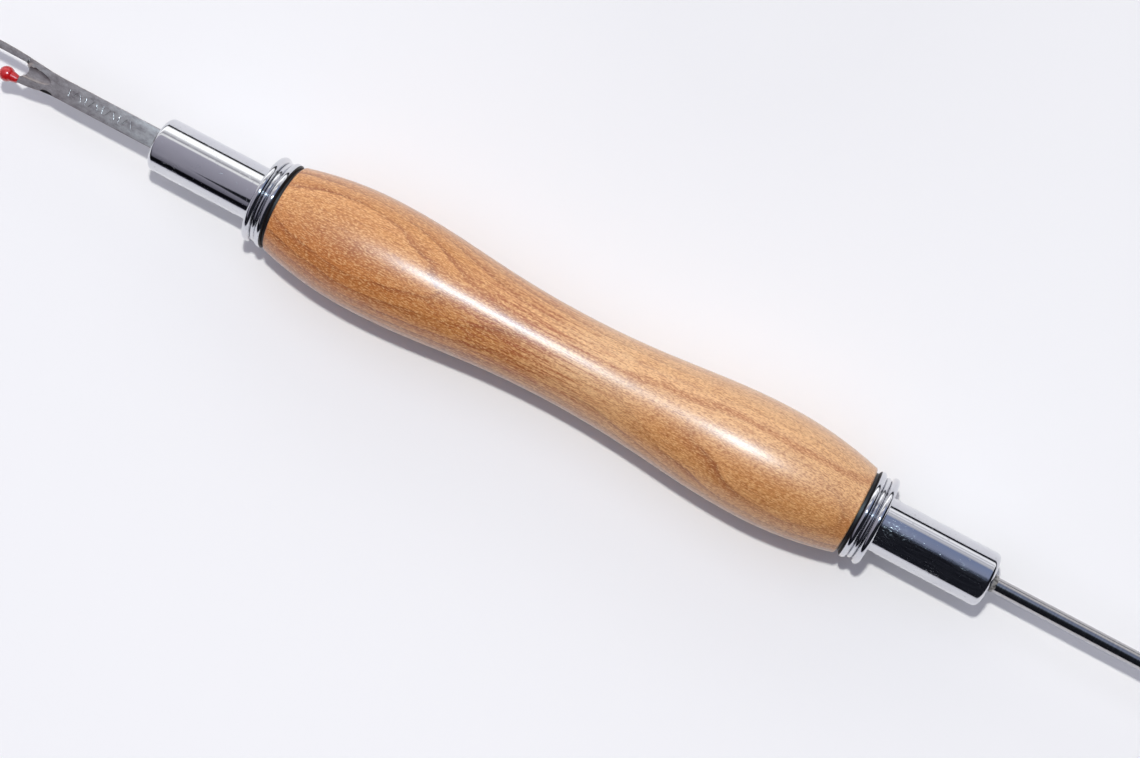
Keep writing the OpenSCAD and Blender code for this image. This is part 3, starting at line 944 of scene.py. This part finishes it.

# %% [markdown]
# ## Stamped steel
# The blade is nickelled steel strip that was tumbled, not polished, so it mirrors the room only as a
# blur. Its colour is a warm grey with cloudy stains. Rolling lines run along it, drawn 0.1 mm wide,
# which is coarser than real ones. The nick is painted near black, a painted shade and dark painted
# reflection for its steep side.

# %% Finish the blade
stamped, tree, shader, spot = start_finish("tumbled_stamped_steel", Metallic=1.0)
cloudy = add(tree, "Mapping", {"Vector": spot, "Scale": (0.6, 1.1, 1.1)})
stains = add(tree, "TexNoise", {"Vector": cloudy, "Scale": 1.0, "Detail": 5.0, "Roughness": 0.7})
tint = add(tree, "ValToRGB", {"Fac": stains}, stops=[(0.32, "84797a"), (0.5, "aaa09e"), (0.68, "c4bdbb")])
drawn_out = add(tree, "Mapping", {"Vector": spot, "Scale": (0.5, 12.0, 12.0)})
rolling = add(tree, "TexNoise", {"Vector": drawn_out, "Scale": 1.0, "Detail": 2.0})
limits = {"From Min": 0.3, "From Max": 0.7, "To Min": 0.55, "To Max": 1.0}
lines = add(tree, "MapRange", {"Value": rolling, **limits})
inputs = {0: 0.35, 6: tint, 7: lines}
tint = add(tree, "Mix", inputs, out=2, data_type="RGBA", blend_type="MULTIPLY")
tree.links.new(tint, shader.inputs["Base Color"])
limits = {"From Min": 0.3, "From Max": 0.7, "To Min": 0.42, "To Max": 0.3}
tree.links.new(add(tree, "MapRange", {"Value": stains, **limits}), shader.inputs["Roughness"])
tumbled = add(tree, "TexNoise", {"Vector": spot, "Scale": 4.0, "Detail": 3.0})
bump = add(tree, "Bump", {"Height": tumbled, "Distance": 0.02 * MM})
tree.links.new(bump, shader.inputs["Normal"])
give_finish(blade, stamped)
print(blade.name, "has", stamped.name)

# %% Paint shade into the nick
# A face belongs to the nick when its middle lies on the grinder's skin, or a little way outside it.
NICK_REACH = 1.04
# Painted shade: the nick's faces get a near-black colour for the shade and dark reflection in its steep
# side.
scale, tree, shader, spot = start_finish("painted_shade_in_the_nick", Metallic=0.4, Roughness=0.6)
nick_shade_mottle = add(tree, "TexNoise", {"Vector": spot, "Scale": 4.0, "Detail": 3.0})
tint = add(tree, "ValToRGB", {"Fac": nick_shade_mottle}, stops=[(0.3, "100c0c"), (0.7, "2c2624")])
tree.links.new(tint, shader.inputs["Base Color"])
blade.data.materials.append(scale)
darkened = 0
for face in blade.data.polygons:
    apart = [(here - middle) / half for here, middle, half in zip(face.center, nick_place, NICK)]
    if Vector(apart).length < NICK_REACH:
        face.material_index = 1
        darkened += 1
print(darkened, "faces of the nick are dark")

# %% [markdown]
# ## The red ball
# The short tine ends in a red plastic ball that keeps it from piercing the cloth. It is moulded on, and
# its back is drawn out into a short neck that grips the tine.

# %% Turn the ball on its own axis
BALL_R = (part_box("ripper_ball")[1].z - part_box("ripper_ball")[0].z) / 2
NECK_BACK = 2.15 * MM
BALL_NECK_R = 0.62 * MM
NECK_ROUND = 0.12 * MM
outline = [(-BALL_R, 0)] + arc(0, 0, BALL_R, 179, 45, steps=22)
lead_x, lead_r = outline[-1]
neck_l = NECK_BACK - lead_x
thinning = BALL_NECK_R - lead_r
outline += [
    (lead_x + neck_l * t, lead_r + thinning * (0.9 * t + 0.1 * t**2)) for t in (i / 8 for i in range(1, 8))
]
outline += arc(NECK_BACK - NECK_ROUND, BALL_NECK_R - NECK_ROUND, NECK_ROUND, 90, 0, steps=4)
outline += [(NECK_BACK, 0)]
ball = turn_piece(
    "red_ball",
    [(RIPPER_FACE - BALL_AT + x, radius) for x, radius in outline],
    steps=64,
    axis_y=SHANK_Y - BALL_Y,
)
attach(ball, "ripper_tool")
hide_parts("ripper_ball")

# %% [markdown]
# ## Red moulded plastic
# The ball is dipped or moulded in a soft glossy vinyl. Its colour is even, with a very fine orange-peel
# skin that breaks up the lamp's glint.

# %% Finish the ball
SKIN = {"Coat Weight": 1.0, "Coat Roughness": 0.2}
vinyl, tree, shader, spot = start_finish("glossy_red_vinyl", Roughness=0.3, IOR=1.5, **SKIN)
peel = add(tree, "TexNoise", {"Vector": spot, "Scale": 5.0, "Detail": 2.0})
tint = add(tree, "ValToRGB", {"Fac": peel}, stops=[(0.3, "a80a10"), (0.7, "cc161c")])
tree.links.new(tint, shader.inputs["Base Color"])
bump = add(tree, "Bump", {"Height": peel, "Distance": 0.01 * MM})
tree.links.new(bump, shader.inputs["Normal"])
give_finish(ball, vinyl)
print(ball.name, "has", vinyl.name)

# %% [markdown]
# ## Glue
# Both tools are set in epoxy. It fills the mouth of the ripper's socket, and it creeps up the stiletto as
# a small lump. Glue is never even, so its turned shape gets its points pushed about a little and is then
# subdivided, which leaves soft lumps.

# %% Turn the glue


def lump(name, outline, face, side, amount):
    """A turned blob of glue with uneven sides. Its outline starts and ends on the axis."""
    blob = turn_piece(name, [(face + side * x, radius) for x, radius in outline], steps=20)
    bpy.ops.object.mode_set(mode="EDIT")
    bpy.ops.mesh.select_all(action="SELECT")
    bpy.ops.transform.vertex_random(offset=amount, uniform=1.0, normal=0.0, seed=4)
    bpy.ops.object.mode_set(mode="OBJECT")
    apply_modifier(blob, "SUBSURF", levels=2, render_levels=2)
    bpy.ops.object.mode_set(mode="EDIT")
    return settle(blob, crease=60)


GLUE_R = 2.05 * MM
GLUE_DEPTH = 2.8 * MM
ripper_outline = [(-GLUE_DEPTH, 0), (-GLUE_DEPTH, GLUE_R), (-0.05 * MM, GLUE_R)]
ripper_outline += [(0.12 * MM, 0.8 * GLUE_R), (0.16 * MM, 0)]
ripper_glue = lump("ripper_glue_plug", ripper_outline, RIPPER_FACE, side=-1, amount=0.06 * MM)
STILETTO_GLUE = [(-0.4, 0), (-0.4, 1.3), (0.05, 1.6), (0.4, 1.5), (0.8, 1.4), (1.2, 1.26), (1.3, 0)]
stiletto_outline = [(x * MM, radius * MM) for x, radius in STILETTO_GLUE]
stiletto_glue = lump("stiletto_glue_lump", stiletto_outline, STILETTO_FACE, side=1, amount=0.2 * MM)
for piece, body, slot in (
    (ripper_glue, "ripper_tool", "clear_epoxy"),
    (stiletto_glue, "stiletto_tool", "grey_epoxy"),
):
    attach(piece, body)
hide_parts("ripper_glue")
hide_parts("stiletto_glue")

# %% [markdown]
# ## Set epoxy
# Clear epoxy sets slightly yellow and turns cloudy with dust. The other glue is filled with metal
# powder, so it is a patchy dark grey. Both have a soft gloss and an uneven skin.

# %% Finish the glue


def epoxy_finish(name, dark, light):
    """Set epoxy: cloudy, with dust in it, and a soft gloss."""
    epoxy, tree, shader, spot = start_finish(name, Roughness=0.35, IOR=1.55, Coat_Weight=0.2)
    cloud = add(tree, "TexNoise", {"Vector": spot, "Scale": 1.6, "Detail": 3.0})
    tint = add(tree, "ValToRGB", {"Fac": cloud}, stops=[(0.35, dark), (0.65, light)])
    tree.links.new(tint, shader.inputs["Base Color"])
    bump = add(tree, "Bump", {"Height": cloud, "Distance": 0.08 * MM})
    tree.links.new(bump, shader.inputs["Normal"])
    return epoxy


give_finish(ripper_glue, epoxy_finish("cloudy_clear_epoxy", "a8a49a", "e0ddd4"))
give_finish(stiletto_glue, epoxy_finish("metal_filled_epoxy", "3c3a3a", "a4a2a2"))
print("the ripper's glue is cloudy and the stiletto's is grey")

# %% [markdown]
# ## Rubber rings and brass tubes
# These sit inside and show only when a tool is pulled out. Their CAD shapes are right as they are, so
# they only get a finish: black nitrile rubber, whose matt skin has a faint dusty bloom, and drawn brass,
# whose mirror is broken up by lines along it. Those are 0.2 mm wide, coarser than real drawing lines.

# %% Finish the rubber rings
rubber, tree, shader, spot = start_finish("black_nitrile_rubber", Roughness=0.6, IOR=1.52)
bloom = add(tree, "TexNoise", {"Vector": spot, "Scale": 2.0, "Detail": 3.0})
tint = add(tree, "ValToRGB", {"Fac": bloom}, stops=[(0.3, "141414"), (0.7, "24221f")])
tree.links.new(tint, shader.inputs["Base Color"])
for node in ("ripper_oring", "stiletto_oring"):
    give_finish(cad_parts[node], rubber)
    print(node, "has", rubber.name)

# %% Finish the brass tubes
brass, tree, shader, spot = start_finish("drawn_brass_tube", Metallic=1.0)
drawn_out = add(tree, "Mapping", {"Vector": spot, "Scale": (0.1, 6.0, 6.0)})
drawing = add(tree, "TexNoise", {"Vector": drawn_out, "Scale": 1.0, "Detail": 2.0})
tint = add(tree, "ValToRGB", {"Fac": drawing}, stops=[(0.3, "a98442"), (0.7, "d0ac66")])
tree.links.new(tint, shader.inputs["Base Color"])
limits = {"From Min": 0.3, "From Max": 0.7, "To Min": 0.22, "To Max": 0.38}
tree.links.new(add(tree, "MapRange", {"Value": drawing, **limits}), shader.inputs["Roughness"])
for node in ("ripper_tube", "stiletto_tube"):
    give_finish(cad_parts[node], brass)
print("finished", len(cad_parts), "nodes and the pieces that stand for them")
